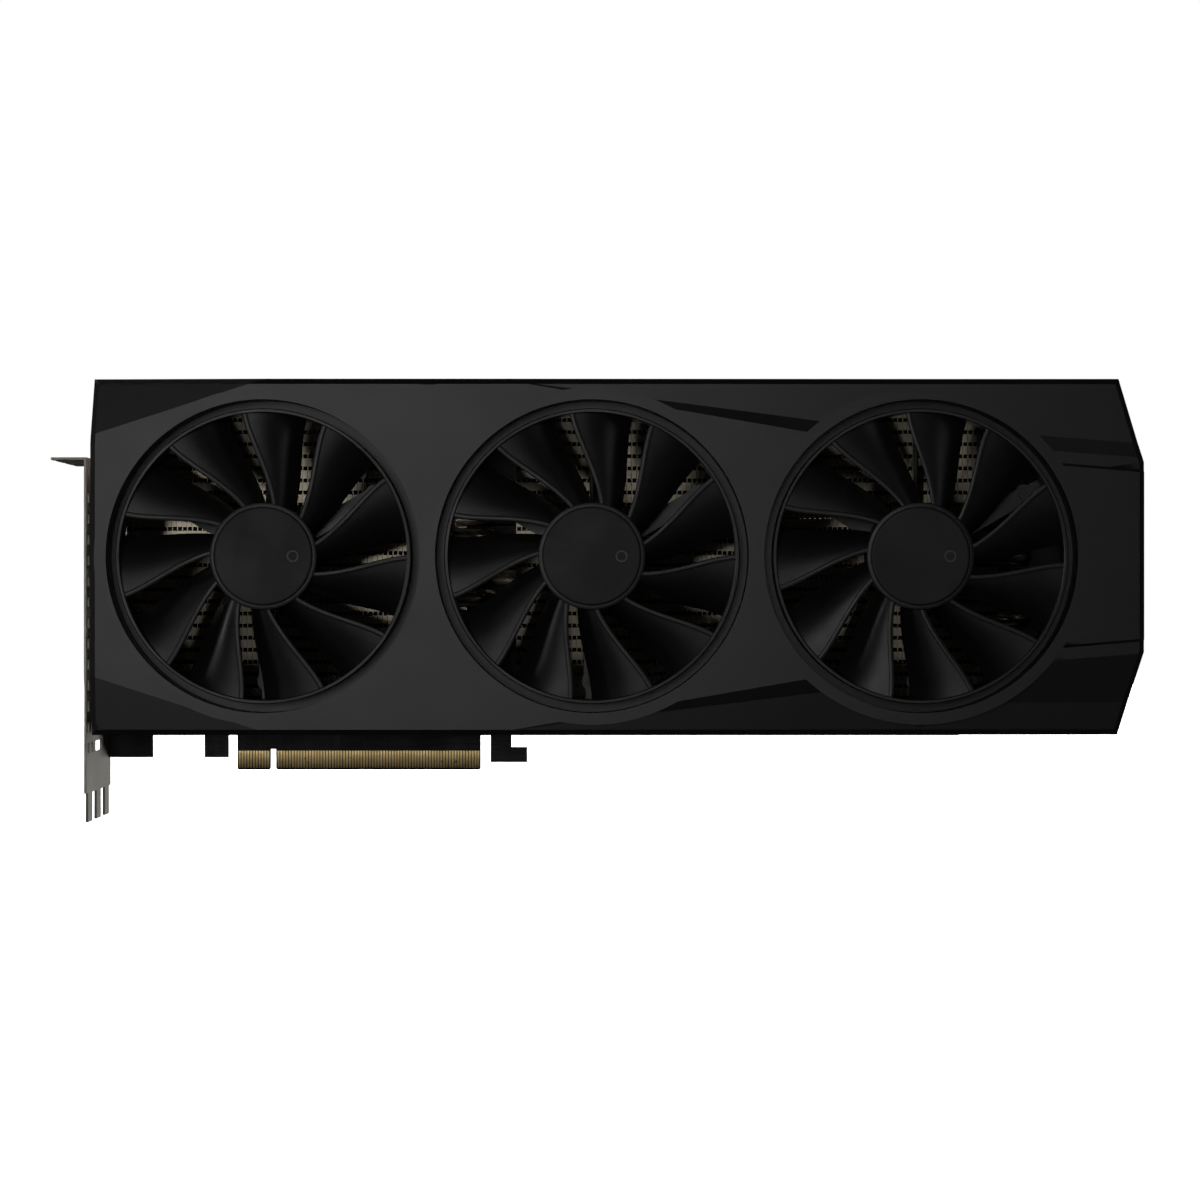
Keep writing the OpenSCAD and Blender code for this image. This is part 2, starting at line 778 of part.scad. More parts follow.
// Points in two layers, front then back, and the triangles that close them
blade_points = [
    for (back = [0, 1], i = [0 : rows], j = [0 : cols]) blade_point(i / rows, j / cols, back)
];
function corner(i, j, back) = back * (rows + 1) * (cols + 1) + i * (cols + 1) + j;
function quad(a, b, c, d) = [[a, c, b], [a, d, c]];
blade_faces = concat(
    [for (i = [0 : rows - 1], j = [0 : cols - 1]) each quad(
        corner(i, j, 0), corner(i, j + 1, 0), corner(i + 1, j + 1, 0), corner(i + 1, j, 0))],
    [for (i = [0 : rows - 1], j = [0 : cols - 1]) each quad(
        corner(i, j, 1), corner(i + 1, j, 1), corner(i + 1, j + 1, 1), corner(i, j + 1, 1))],
    [for (i = [0 : rows - 1]) each quad(
        corner(i, 0, 0), corner(i + 1, 0, 0), corner(i + 1, 0, 1), corner(i, 0, 1))],
    [for (i = [0 : rows - 1]) each quad(
        corner(i, cols, 0), corner(i, cols, 1), corner(i + 1, cols, 1), corner(i + 1, cols, 0))],
    [for (j = [0 : cols - 1]) each quad(
        corner(0, j, 0), corner(0, j, 1), corner(0, j + 1, 1), corner(0, j + 1, 0))],
    [for (j = [0 : cols - 1]) each quad(
        corner(rows, j, 0), corner(rows, j + 1, 0), corner(rows, j + 1, 1), corner(rows, j, 1))]
);

// The hub's cup, turned about the fan's axis, with the shaft's boss inside; h runs to the front
module hub_cup() {
    h_front = y_hub_rear - y_hub;
    h_wall = y_hub_rear - y_hub_wall;
    h_boss = y_hub_rear - y_boss;
    h_shaft = h_front - 0.8;
    inner = hub_r - hub_wall;
    rotate_extrude() polygon([
        [0, h_shaft], [shaft_r, h_shaft], [shaft_r, h_boss], [3.6, h_boss], [3.6, h_wall],
        [inner, h_wall], [inner, 0], [hub_r, 0], [hub_r, h_front - 0.8],
        [hub_r - hub_chamfer, h_front], [0, h_front]
    ]);
}

module impeller(n) {
    color("#1b1c1e")
    translate([fan_x(n), 0, fan_z]) {
        translate([0, y_hub_rear, 0]) rotate([90, 0, 0]) hub_cup();
        difference() {
            rod_y(0, 0, y_ring, ring_r);
            rod_y(0, 0, [y_ring[0] - over, y_ring[1] + over], ring_r - ring_t);
        }
        for (k = [0 : blades - 1]) rotate([0, -k * 360 / blades - fan_turn[n - 1], 0])
            polyhedron(points = blade_points, faces = blade_faces);
    }
}

// Thin disc on the hub, with a small raised ring off its centre
module cap(n) {
    color("#17181a")
    translate([fan_x(n), 0, fan_z]) {
        rod_y(0, 0, [y_cap, y_hub], hub_r - hub_chamfer - 0.2);
        difference() {
            rod_y(9.9, 0, [y_cap - 0.15, y_cap + 0.1], 2.1);
            rod_y(9.9, 0, [y_cap - over, y_cap], 1.5);
        }
    }
}

module shaft(n) {
    color("#a9abae") rod_y(fan_x(n), fan_z, [y_hub + 0.8, y_shaft_rear], shaft_r);
}

module magnet(n) {
    color("#3c3a38")
    difference() {
        rod_y(fan_x(n), fan_z, y_magnet, hub_r - hub_wall);
        rod_y(fan_x(n), fan_z, y_magnet + [-over, over], hub_r - hub_wall - magnet_t);
    }
}

module fan_frame(n) {
    color("#161719")
    difference() {
        union() {
            rod_y(fan_x(n), fan_z, y_base, 17);
            rod_y(fan_x(n), fan_z, [y_tube, y_base[1]], tube_r);
            for (a = arm_angles) {
                at = ring_xz(fan_x(n), fan_z, arm_r, a);
                rod_y(at[0], at[1], y_base, 3.4);
                translate([fan_x(n), 0, fan_z]) rotate([0, -a, 0])
                    block([15, arm_r], y_base, [-2.8, 2.8]);
            }
        }
        rod_y(fan_x(n), fan_z, [y_tube - over, y_base[0]], bearing_r);
        for (a = arm_angles) {
            at = ring_xz(fan_x(n), fan_z, arm_r, a);
            rod_y(at[0], at[1], [y_base[0] - over, 0], 1.1);
        }
    }
}

module bearing(n) {
    color("#a8854a")
    difference() {
        rod_y(fan_x(n), fan_z, y_bearing, bearing_r);
        rod_y(fan_x(n), fan_z, y_bearing + [-over, over], shaft_r + shaft_gap);
    }
}

module stator(n) {
    color("#6d6f72")
    translate([fan_x(n), 0, fan_z]) difference() {
        union() {
            rod_y(0, 0, y_stator, yoke_r);
            for (k = [0 : poles - 1]) rotate([0, k * 360 / poles, 0]) {
                block([yoke_r - 1.6, 12.4], y_stator, [-tooth_w, tooth_w]);
                intersection() {
                    rod_y(0, 0, y_stator, stator_r);
                    block([12.2, 15], y_stator, [-5.4, 5.4]);
                }
            }
        }
        rod_y(0, 0, y_stator + [-over, over], tube_r);
    }
}

// A coil round each pole
module windings(n) {
    color("#b0652c")
    translate([fan_x(n), 0, fan_z])
        for (k = [0 : poles - 1]) rotate([0, k * 360 / poles, 0]) difference() {
            block([7.4, 12], y_coil, [-tooth_w - 1.3, tooth_w + 1.3]);
            block([7, 12.5], y_stator, [-tooth_w, tooth_w]);
        }
}

// ---- Assembly ----

front_shroud();
back_plate();
io_bracket();
circuit_board();
edge_contacts();
gpu_package();
gpu_die();
memory_chips();
power_stages();
power_chokes();
capacitors();
power_sockets();
power_pins();
fan_header();
hdmi_socket();
for (n = [1 : 3])
    display_socket(n);
socket_tongues();
switch_housing();
switch_slider();
cold_plate();
heat_pipes();
fin_stack_main();
fin_stack_tail();
memory_plate();
thermal_pads();
retention_plate();
retention_screws();
back_plate_screws();
shroud_screws();
bracket_screws();
fan_screws();
fan_leads();
for (n = [1 : 3]) {
    impeller(n);
    cap(n);
    shaft(n);
    magnet(n);
    fan_frame(n);
    bearing(n);
    stator(n);
    windings(n);
}
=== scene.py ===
"""Looks of the graphics card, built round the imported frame.

Blender works in metres; the shapes here are drawn in millimetres and scaled by MM.
X runs to the tail, Z up, and the fans face -Y.
"""
import json
import math

import bmesh
import bpy
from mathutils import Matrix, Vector


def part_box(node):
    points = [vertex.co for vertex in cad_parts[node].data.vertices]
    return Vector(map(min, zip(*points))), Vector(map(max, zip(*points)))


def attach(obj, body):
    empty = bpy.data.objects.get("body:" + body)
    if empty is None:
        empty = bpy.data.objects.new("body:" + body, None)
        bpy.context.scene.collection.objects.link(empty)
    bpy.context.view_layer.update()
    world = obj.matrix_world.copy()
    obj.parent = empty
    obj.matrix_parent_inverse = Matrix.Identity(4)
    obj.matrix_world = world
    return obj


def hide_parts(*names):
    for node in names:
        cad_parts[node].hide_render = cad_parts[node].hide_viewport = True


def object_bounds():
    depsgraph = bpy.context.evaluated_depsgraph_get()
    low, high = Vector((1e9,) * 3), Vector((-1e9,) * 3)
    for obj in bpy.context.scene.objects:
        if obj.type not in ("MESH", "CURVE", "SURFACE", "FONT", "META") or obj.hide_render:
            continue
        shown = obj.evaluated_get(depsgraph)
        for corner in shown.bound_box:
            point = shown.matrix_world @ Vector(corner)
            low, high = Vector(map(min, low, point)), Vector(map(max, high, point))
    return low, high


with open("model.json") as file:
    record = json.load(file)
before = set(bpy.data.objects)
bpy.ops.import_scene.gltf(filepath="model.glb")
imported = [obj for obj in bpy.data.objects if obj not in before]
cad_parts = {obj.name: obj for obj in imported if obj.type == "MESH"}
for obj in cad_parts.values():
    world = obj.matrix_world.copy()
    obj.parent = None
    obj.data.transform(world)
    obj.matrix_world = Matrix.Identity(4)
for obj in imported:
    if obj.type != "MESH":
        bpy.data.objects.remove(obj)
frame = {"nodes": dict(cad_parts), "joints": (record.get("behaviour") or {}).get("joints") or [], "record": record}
cad_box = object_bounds()

MM = 0.001
SLOT_OF = {s["node"]: s["material_slot"] for s in frame["record"]["subparts"]}
BODY_OF = {
    node: body
    for body, nodes in frame["record"]["behaviour"]["bodies"].items()
    for node in nodes
}


def box_mm(node):
    """A CAD node's lowest and highest corners, in millimetres."""
    low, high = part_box(node)
    return low / MM, high / MM


SHROUD_LOW, SHROUD_HIGH = box_mm("front_shroud")
FANS = [
    (j["child"], Vector(j["pos_m"]) / MM) for j in frame["joints"] if j["type"] == "hinge"
]
RING_LOW, RING_HIGH = box_mm("fan_1_impeller")
RING_R = FANS[0][1].x - RING_LOW.x
DUCT_R = 52.25         # radius of the openings in the face
LIP_R = DUCT_R + 3.9   # radius of the flat lip round each opening
DUCT_REAR = -41.3
LEDGE = (-48.4, -46.6)  # the duct's inner ledge behind the fan's ring, from front to rear


# ---------------------------------------------------------------- camera, light and stage

CAMERA_AT = Vector((0.1144, -1.25, 0.0594))
FOCAL = 107.0
FILL = 0.015
FLOOR_DROP = 0.004
FLOOR_HALF = 6.0
LAMPS_AIM = Vector((0.12, -0.06, 0.07))
# name, place and size in metres, power in watts
LAMPS = (
    ("key", (-0.256, -2.06, 0.25), (0.9, 0.7), 4.7),
    ("side_left", (-1.6, -0.4, 0.32), (0.5, 0.6), 3.0),
    ("side_right", (1.7, -0.8, 0.5), (0.5, 0.6), 0.7),
    ("fins_low", (0.17, -1.05, -0.62), (0.12, 0.2), 2.6),
    ("fins_left", (-0.50, -0.72, 0.09), (0.15, 0.1), 5.0),
    ("bracket_low", (0.9, 1.3, -0.25), (0.6, 0.5), 2.5),
    ("rear_left", (-0.9, 1.7, 0.7), (1.3, 1.0), 46),
    ("rear_right", (1.0, 1.8, 0.45), (1.2, 1.0), 40),
    ("rear_top", (0.12, 1.7, 1.15), (1.6, 0.5), 40),
)


def add_camera():
    """A level camera that looks along +Y."""
    data = bpy.data.cameras.new("camera")
    data.lens = FOCAL
    data.sensor_width = 36.0
    data.sensor_fit = "HORIZONTAL"
    data.clip_start = 0.05
    camera = bpy.data.objects.new("camera", data)
    camera.location = CAMERA_AT
    camera.rotation_euler = (math.pi / 2, 0, 0)
    bpy.context.scene.collection.objects.link(camera)
    bpy.context.scene.camera = camera


def add_area(name, at, size, power):
    """A white rectangular lamp that faces the card."""
    data = bpy.data.lights.new(name, "AREA")
    data.shape = "RECTANGLE"
    data.size, data.size_y = size
    data.energy = power
    light = bpy.data.objects.new(name, data)
    light.location = at
    aim = LAMPS_AIM - Vector(at)
    light.rotation_euler = aim.to_track_quat("-Z", "Y").to_euler()
    light.visible_camera = False
    bpy.context.scene.collection.objects.link(light)


def add_world():
    """White where the camera looks past the card, dim grey for everything that it lights."""
    world = bpy.data.worlds.new("studio")
    bpy.context.scene.world = world
    world.use_nodes = True
    tree = world.node_tree
    tree.nodes.clear()
    seen = tree.nodes.new("ShaderNodeBackground")
    seen.inputs["Color"].default_value = (1, 1, 1, 1)
    seen.inputs["Strength"].default_value = 1.0
    fill = tree.nodes.new("ShaderNodeBackground")
    fill.inputs["Color"].default_value = (1, 1, 1, 1)
    fill.inputs["Strength"].default_value = FILL
    path = tree.nodes.new("ShaderNodeLightPath")
    mix = tree.nodes.new("ShaderNodeMixShader")
    out = tree.nodes.new("ShaderNodeOutputWorld")
    tree.links.new(path.outputs["Is Camera Ray"], mix.inputs[0])
    tree.links.new(fill.outputs[0], mix.inputs[1])
    tree.links.new(seen.outputs[0], mix.inputs[2])
    tree.links.new(mix.outputs[0], out.inputs["Surface"])


def add_stage():
    """A white floor under the bracket's tongues, which throws no light back."""
    low = cad_box[0][2] - FLOOR_DROP
    half = FLOOR_HALF
    mesh = bpy.data.meshes.new("floor")
    mesh.from_pydata(
        [(-half, -half, low), (half, -half, low), (half, half, low), (-half, half, low)],
        [], [(0, 1, 2, 3)])
    floor = bpy.data.objects.new("floor", mesh)
    bpy.context.scene.collection.objects.link(floor)
    material = bpy.data.materials.new("floor_white")
    material.use_nodes = True
    shader = material.node_tree.nodes["Principled BSDF"]
    shader.inputs["Base Color"].default_value = (0.8, 0.8, 0.8, 1)
    shader.inputs["Roughness"].default_value = 1.0
    shader.inputs["Emission Color"].default_value = (1, 1, 1, 1)
    shader.inputs["Emission Strength"].default_value = 1.0
    mesh.materials.append(material)
    floor.visible_diffuse = False
    floor.visible_glossy = False
    floor.visible_shadow = False


def share_light(lamp, state, pieces):
    """Keeps a lamp's light for these pieces (INCLUDE) or off them (EXCLUDE)."""
    reach = bpy.data.collections.new(lamp + "_reach")
    for piece in pieces:
        reach.objects.link(piece)
    for entry in reach.collection_objects:
        entry.light_linking.link_state = state
    bpy.data.objects[lamp].light_linking.receiver_collection = reach


def share_lights(shroud, cooler, bracket):
    """Says which lamps light which pieces, where a lamp doesn't light them all."""
    # the fins take their light from two lamps of their own, low and from the left
    share_light("fins_low", "INCLUDE", cooler)
    share_light("fins_left", "INCLUDE", cooler)
    share_light("key", "EXCLUDE", cooler)
    share_light("bracket_low", "INCLUDE", [bracket])
    # low light from behind would glare on the shroud's walls and the bracket's inner face
    share_light("rear_left", "EXCLUDE", [shroud])
    share_light("rear_right", "EXCLUDE", [shroud, bracket])
    share_light("rear_top", "EXCLUDE", [bracket])


def set_light():
    add_world()
    for name, at, size, power in LAMPS:
        add_area(name, at, size, power)
    bpy.context.scene.view_settings.view_transform = "Standard"


# ---------------------------------------------------------------- materials

def new_material(name):
    """A new material, its node tree and its shader."""
    material = bpy.data.materials.new(name)
    material.use_nodes = True
    return material, material.node_tree, material.node_tree.nodes["Principled BSDF"]


def noise(tree, scale, detail=4.0, roughness=0.55, stretch=(1, 1, 1)):
    """Noise over the object's own coordinates, in cells per metre.

    Stretch multiplies the cells along X, Y and Z, so a low value draws the noise out that way.
    """
    place = tree.nodes.new("ShaderNodeTexCoord")
    mapping = tree.nodes.new("ShaderNodeMapping")
    mapping.inputs["Scale"].default_value = stretch
    texture = tree.nodes.new("ShaderNodeTexNoise")
    texture.inputs["Scale"].default_value = scale
    texture.inputs["Detail"].default_value = detail
    texture.inputs["Roughness"].default_value = roughness
    tree.links.new(place.outputs["Object"], mapping.inputs["Vector"])
    tree.links.new(mapping.outputs["Vector"], texture.inputs["Vector"])
    return texture.outputs["Fac"]


def spread(tree, source, low, high, start=0.3, end=0.7):
    """Maps a noise's middle range onto low to high."""
    node = tree.nodes.new("ShaderNodeMapRange")
    node.inputs["From Min"].default_value = start
    node.inputs["From Max"].default_value = end
    node.inputs["To Min"].default_value = low
    node.inputs["To Max"].default_value = high
    tree.links.new(source, node.inputs["Value"])
    return node.outputs["Result"]


def blend_colour(tree, factor, first, second):
    """The first colour at factor 0, the second at 1."""
    node = tree.nodes.new("ShaderNodeMix")
    node.data_type = "RGBA"
    node.inputs["A"].default_value = (*first, 1)
    node.inputs["B"].default_value = (*second, 1)
    tree.links.new(factor, node.inputs["Factor"])
    return node.outputs["Result"]


def bump(tree, shader, height, distance):
    """Relief of the given depth, in metres."""
    node = tree.nodes.new("ShaderNodeBump")
    node.inputs["Distance"].default_value = distance
    node.inputs["Strength"].default_value = 1.0
    tree.links.new(height, node.inputs["Height"])
    tree.links.new(node.outputs["Normal"], shader.inputs["Normal"])


def grained(name, colour, rough, grain, depth, metallic=0.0, lift=1.12, patch=45, specular=0.5,
            rough_spread=0.07):
    """A surface with a fine grain and slow changes of tone and gloss.

    Grain and patch are in cells per metre; lift is how much lighter the lightest patches are.
    """
    material, tree, shader = new_material(name)
    shader.inputs["Metallic"].default_value = metallic
    shader.inputs["Specular IOR Level"].default_value = specular
    fine = noise(tree, grain, 3.0, 0.6)
    slow = noise(tree, patch, 5.0, 0.6)
    tone = blend_colour(tree, spread(tree, slow, 0.0, 1.0), [c * 0.9 for c in colour],
                        [min(1.0, c * lift) for c in colour])
    tree.links.new(tone, shader.inputs["Base Color"])
    tree.links.new(spread(tree, slow, rough - rough_spread, rough + rough_spread),
                   shader.inputs["Roughness"])
    bump(tree, shader, fine, depth)
    return material


def board_resist():
    """Solder resist over copper tracks: long fine ridges that run along the board and up it."""
    material, tree, shader = new_material("board_resist")
    shader.inputs["Specular IOR Level"].default_value = 0.25
    along = noise(tree, 180, 2.0, 0.4, (0.15, 1, 3.2))
    across = noise(tree, 180, 2.0, 0.4, (3.2, 1, 0.15))
    both = tree.nodes.new("ShaderNodeMath")
    both.operation = "MAXIMUM"
    tree.links.new(spread(tree, along, 0, 1, 0.52, 0.56), both.inputs[0])
    tree.links.new(spread(tree, across, 0, 1, 0.55, 0.59), both.inputs[1])
    colour = blend_colour(tree, both.outputs[0], (0.0022, 0.0022, 0.0025), (0.0055, 0.0055, 0.006))
    tree.links.new(colour, shader.inputs["Base Color"])
    tree.links.new(spread(tree, noise(tree, 60), 0.36, 0.5), shader.inputs["Roughness"])
    bump(tree, shader, both.outputs[0], 0.00004)
    return material


def contact_gold():
    """Hard gold plate with faint wipe marks up the contacts."""
    material, tree, shader = new_material("contact_gold")
    shader.inputs["Metallic"].default_value = 1.0
    slow = noise(tree, 160, 4.0)
    tone = blend_colour(tree, spread(tree, slow, 0, 1), (0.74, 0.52, 0.22), (0.92, 0.70, 0.34))
    tree.links.new(tone, shader.inputs["Base Color"])
    tree.links.new(spread(tree, noise(tree, 900), 0.26, 0.42), shader.inputs["Roughness"])
    bump(tree, shader, noise(tree, 2500, 2.0, 0.5, (6, 1, 0.3)), 0.00001)
    return material


def brushed(name, colour, rough, stretch, scale=900):
    """Metal brushed or rolled along the direction with the lowest stretch."""
    material, tree, shader = new_material(name)
    shader.inputs["Metallic"].default_value = 1.0
    lines = noise(tree, scale, 4.0, 0.6, stretch)
    slow = noise(tree, 40, 4.0)
    tone = blend_colour(tree, spread(tree, slow, 0, 1), [c * 0.88 for c in colour],
                        [min(1.0, c * 1.1) for c in colour])
    tree.links.new(tone, shader.inputs["Base Color"])
    tree.links.new(spread(tree, lines, rough - 0.08, rough + 0.08), shader.inputs["Roughness"])
    bump(tree, shader, lines, 0.00002)
    return material


# colour, roughness, stretch along X, Y and Z and, where they aren't the usual, cells per metre
BRUSHED = {
    "bracket_steel": ((0.42, 0.4, 0.36), 0.55, (1, 8, 0.25)),
    "capacitor_can": ((0.5, 0.5, 0.52), 0.3, (1, 1, 1)),
    "pin_tin": ((0.6, 0.58, 0.54), 0.3, (1, 1, 0.2)),
    "socket_nickel": ((0.56, 0.55, 0.52), 0.3, (0.2, 1, 1)),
    "cold_nickel": ((0.5, 0.48, 0.45), 0.28, (0.2, 1, 1)),
    "pipe_nickel": ((0.62, 0.55, 0.44), 0.3, (0.1, 1, 1), 700),
    "fin_aluminium": ((0.32, 0.29, 0.225), 0.5, (1, 0.2, 1)),
    "spring_steel": ((0.2, 0.2, 0.21), 0.35, (0.3, 1, 1)),
    "screw_steel": ((0.06, 0.058, 0.055), 0.5, (1, 1, 1)),
    "shaft_steel": ((0.6, 0.6, 0.61), 0.2, (1, 0.2, 1)),
    "bearing_bronze": ((0.4, 0.28, 0.14), 0.35, (1, 0.3, 1)),
    "stator_steel": ((0.16, 0.16, 0.17), 0.4, (0.2, 9, 0.2), 300),
    "copper_wire": ((0.5, 0.22, 0.08), 0.35, (0.3, 9, 0.3), 500),
}

# colour, roughness, grain in cells per metre, depth of the grain and other options
MOULDED = {
    "shroud_plastic": ((0.0125, 0.0127, 0.0132), 0.367, 2300, 0.00001, {"rough_spread": 0.015}),
    "plate_coat": ((0.018, 0.0185, 0.0195), 0.42, 3200, 0.00002,
                   {"patch": 20, "rough_spread": 0.02}),
    "package_green": ((0.02, 0.08, 0.045), 0.4, 1800, 0.00003, {}),
    "silicon": ((0.2, 0.22, 0.25), 0.12, 300, 0.000004, {"metallic": 0.8}),
    "chip_black": ((0.014, 0.014, 0.015), 0.55, 3500, 0.00002, {}),
    "choke_grey": ((0.09, 0.09, 0.095), 0.6, 2500, 0.00005, {}),
    "connector_black": ((0.012, 0.012, 0.013), 0.38, 2500, 0.00003, {}),
    "connector_white": ((0.62, 0.6, 0.54), 0.45, 2500, 0.00002, {}),
    "switch_white": ((0.7, 0.69, 0.65), 0.4, 2500, 0.00002, {}),
    "memory_plate_coat": ((0.02, 0.02, 0.021), 0.5, 2600, 0.00003, {}),
    "pad_grey": ((0.2, 0.26, 0.3), 0.8, 1600, 0.00006, {}),
    "screw_black": ((0.02, 0.02, 0.021), 0.35, 3000, 0.00003, {"metallic": 0.6}),
    "lead_black": ((0.012, 0.012, 0.012), 0.55, 4000, 0.00005, {}),
    "fan_plastic": ((0.0115, 0.0117, 0.0122), 0.4, 2800, 0.00002, {}),
    "hub_cap_film": ((0.012, 0.0121, 0.0126), 0.5, 3600, 0.00001, {"specular": 0.4}),
    "magnet_grey": ((0.04, 0.038, 0.036), 0.6, 2000, 0.00004, {}),
    "mark_grey": ((0.075, 0.075, 0.078), 0.4, 3000, 0.00001, {}),
}


def make_materials():
    """One material for each of the record's slots, by the slot's name, and those of edges."""
    made = {"board_resist": board_resist(), "contact_gold": contact_gold()}
    for name, values in BRUSHED.items():
        made[name] = brushed(name, *values)
    for name, (colour, rough, grain, depth, options) in MOULDED.items():
        made[name] = grained(name, colour, rough, grain, depth, **options)
        # rounded edges are handled, and rub lighter in patches
        rubbed = [min(1.0, c * 1.15 + 0.001) for c in colour]
        made[name + "_edge"] = grained(name + "_edge", rubbed, rough, grain, depth,
                                       **{**options, "lift": 1.9, "patch": 260})
    return made


MATERIALS = {}


# ---------------------------------------------------------------- mesh helpers

# a rounded edge's faces take the piece's second material
EDGE_INDEX = 1
FLAT_AREA = 12 * MM * MM
FLAT_REACH = 20 * MM
# the sides of a box whose corners run through X, then Y, then Z
BOX_SIDES = ((0, 1, 3, 2), (4, 6, 7, 5), (0, 4, 5, 1), (2, 3, 7, 6), (0, 2, 6, 4), (1, 5, 7, 3))


def link_mesh(name, mesh):
    piece = bpy.data.objects.new(name, mesh)
    bpy.context.scene.collection.objects.link(piece)
    return piece


def piece_from_bmesh(name, bm):
    """Makes an object from a bmesh drawn in millimetres."""
    bmesh.ops.scale(bm, vec=(MM, MM, MM), verts=bm.verts)
    mesh = bpy.data.meshes.new(name)
    bm.to_mesh(mesh)
    bm.free()
    return link_mesh(name, mesh)


def smooth_by_angle(piece, degrees):
    """Smooth shading, broken where two faces meet at more than this angle."""
    mesh = piece.data
    mesh.polygons.foreach_set("use_smooth", [True] * len(mesh.polygons))
    bm = bmesh.new()
    bm.from_mesh(mesh)
    limit = math.radians(degrees)
    for edge in bm.edges:
        edge.smooth = len(edge.link_faces) == 2 and edge.calc_face_angle(0.0) < limit
    bm.to_mesh(mesh)
    bm.free()


def apply_modifiers(piece):
    """Bakes the piece's modifiers into its mesh."""
    bpy.context.view_layer.update()
    depsgraph = bpy.context.evaluated_depsgraph_get()
    mesh = bpy.data.meshes.new_from_object(piece.evaluated_get(depsgraph))
    piece.modifiers.clear()
    piece.data = mesh


def boolean(piece, tool, operation):
    """Cuts or joins a tool, which is used up."""
    modifier = piece.modifiers.new(operation.lower(), "BOOLEAN")
    modifier.operation = operation
    modifier.solver = "MANIFOLD"
    modifier.object = tool
    apply_modifiers(piece)
    bpy.data.objects.remove(tool)


def bevel(piece, width_mm, degrees):
    """Rounds the edges that turn by more than this angle."""
    modifier = piece.modifiers.new("bevel", "BEVEL")
    modifier.width = width_mm * MM
    modifier.segments = 2
    modifier.limit_method = "ANGLE"
    modifier.angle_limit = math.radians(degrees)
    modifier.use_clamp_overlap = True
    while len(piece.data.materials) <= EDGE_INDEX:
        piece.data.materials.append(None)
    modifier.material = EDGE_INDEX
    apply_modifiers(piece)


def flatten(piece):
    """Flat shading for broad or long faces between rounded edges, which would shade unevenly."""
    corners = piece.data.vertices
    for face in piece.data.polygons:
        start = corners[face.vertices[0]].co
        reach = max((corners[i].co - start).length for i in face.vertices)
        if face.material_index != EDGE_INDEX and (face.area > FLAT_AREA or reach > FLAT_REACH):
            face.use_smooth = False


def finish_piece(piece, material, body, stands_for=(), angle=30):
    """Material, shading and body of a piece, and hides the CAD nodes that it stands for."""
    mesh = piece.data
    edge = MATERIALS.get(material + "_edge")
    rounded = [f.index for f in mesh.polygons if edge and f.material_index == EDGE_INDEX]
    mesh.materials.clear()
    mesh.materials.append(MATERIALS[material])
    if rounded:
        mesh.materials.append(edge)
        for i in rounded:
            mesh.polygons[i].material_index = EDGE_INDEX
    smooth_by_angle(piece, angle)
    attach(piece, body)
    if stands_for:
        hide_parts(*stands_for)


def add_box(bm, low, high):
    """A closed box between two corners."""
    corners = [
        bm.verts.new((x, y, z))
        for x in (low[0], high[0]) for y in (low[1], high[1]) for z in (low[2], high[2])
    ]
    for side in BOX_SIDES:
        bm.faces.new([corners[i] for i in side])


def add_turned(bm, profile, centre, steps=128):
    """Turns a closed profile of (radius, y) points about a line along Y through the centre."""
    rings = []
    for i in range(steps):
        turn = 2 * math.pi * i / steps
        rings.append([
            bm.verts.new((centre[0] + r * math.cos(turn), y, centre[1] + r * math.sin(turn)))
            for r, y in profile
        ])
    count = len(profile)
    for i in range(steps):
        here, there = rings[i], rings[(i + 1) % steps]
        for k in range(count):
            bm.faces.new((here[k], there[k], there[(k + 1) % count], here[(k + 1) % count]))


def cylinder_tool(centre, radius, y_low, y_high, steps=192):
    """A plain cylinder along Y to cut with."""
    bm = bmesh.new()
    ends = []
    for y in (y_low, y_high):
        ends.append([
            bm.verts.new((centre[0] + radius * math.cos(2 * math.pi * i / steps), y,
                          centre[1] + radius * math.sin(2 * math.pi * i / steps)))
            for i in range(steps)
        ])
    bm.faces.new(ends[0])
    bm.faces.new(reversed(ends[1]))
    for i in range(steps):
        k = (i + 1) % steps
        bm.faces.new((ends[0][k], ends[0][i], ends[1][i], ends[1][k]))
    bmesh.ops.recalc_face_normals(bm, faces=bm.faces)
    return piece_from_bmesh("tool", bm)


def boxes_tool(boxes):
    """Boxes to cut with."""
    bm = bmesh.new()
    for low, high in boxes:
        add_box(bm, low, high)
    bmesh.ops.recalc_face_normals(bm, faces=bm.faces)
    return piece_from_bmesh("tool", bm)


# ---------------------------------------------------------------- shroud

WALL = 2.2
WALL_REAR = -14.0       # rear edge of the upper and lower walls
TAIL_X0 = 254.0         # from here the walls reach back to the rear plate
EDGE_W = 1.9            # width and slope of the chamfer round the face
EDGE_SLOPE = 1.25
TAIL_CUT = (8.4, 27.8)  # extent of each cut corner of the tail, along X and Z
LEFT_DRAW = (0.3, 1.0)  # how far the lower and the upper left corner are drawn in
LEFT_DRAW_H = (18, 22)  # and the height over which each is
MID_Z = 74.2            # the face's creases mirror about this height
DUCT_FRONT = 1.4        # how far each duct begins behind the front plane
DUCT_WALL = 1.6


def shroud_outline(inset):
    """The shroud's corners, seen from the front."""
    x0, x1 = SHROUD_LOW.x + inset, SHROUD_HIGH.x - inset
    z0, z1 = SHROUD_LOW.z + inset, SHROUD_HIGH.z - inset
    return [
        (x0 + LEFT_DRAW[0], z0), (x1 - TAIL_CUT[0], z0), (x1, SHROUD_LOW.z + TAIL_CUT[1]),
        (x1, SHROUD_HIGH.z - TAIL_CUT[1]), (x1 - TAIL_CUT[0], z1), (x0 + LEFT_DRAW[1], z1),
        (x0, z1 - LEFT_DRAW_H[1]), (x0, z0 + LEFT_DRAW_H[0])
    ]


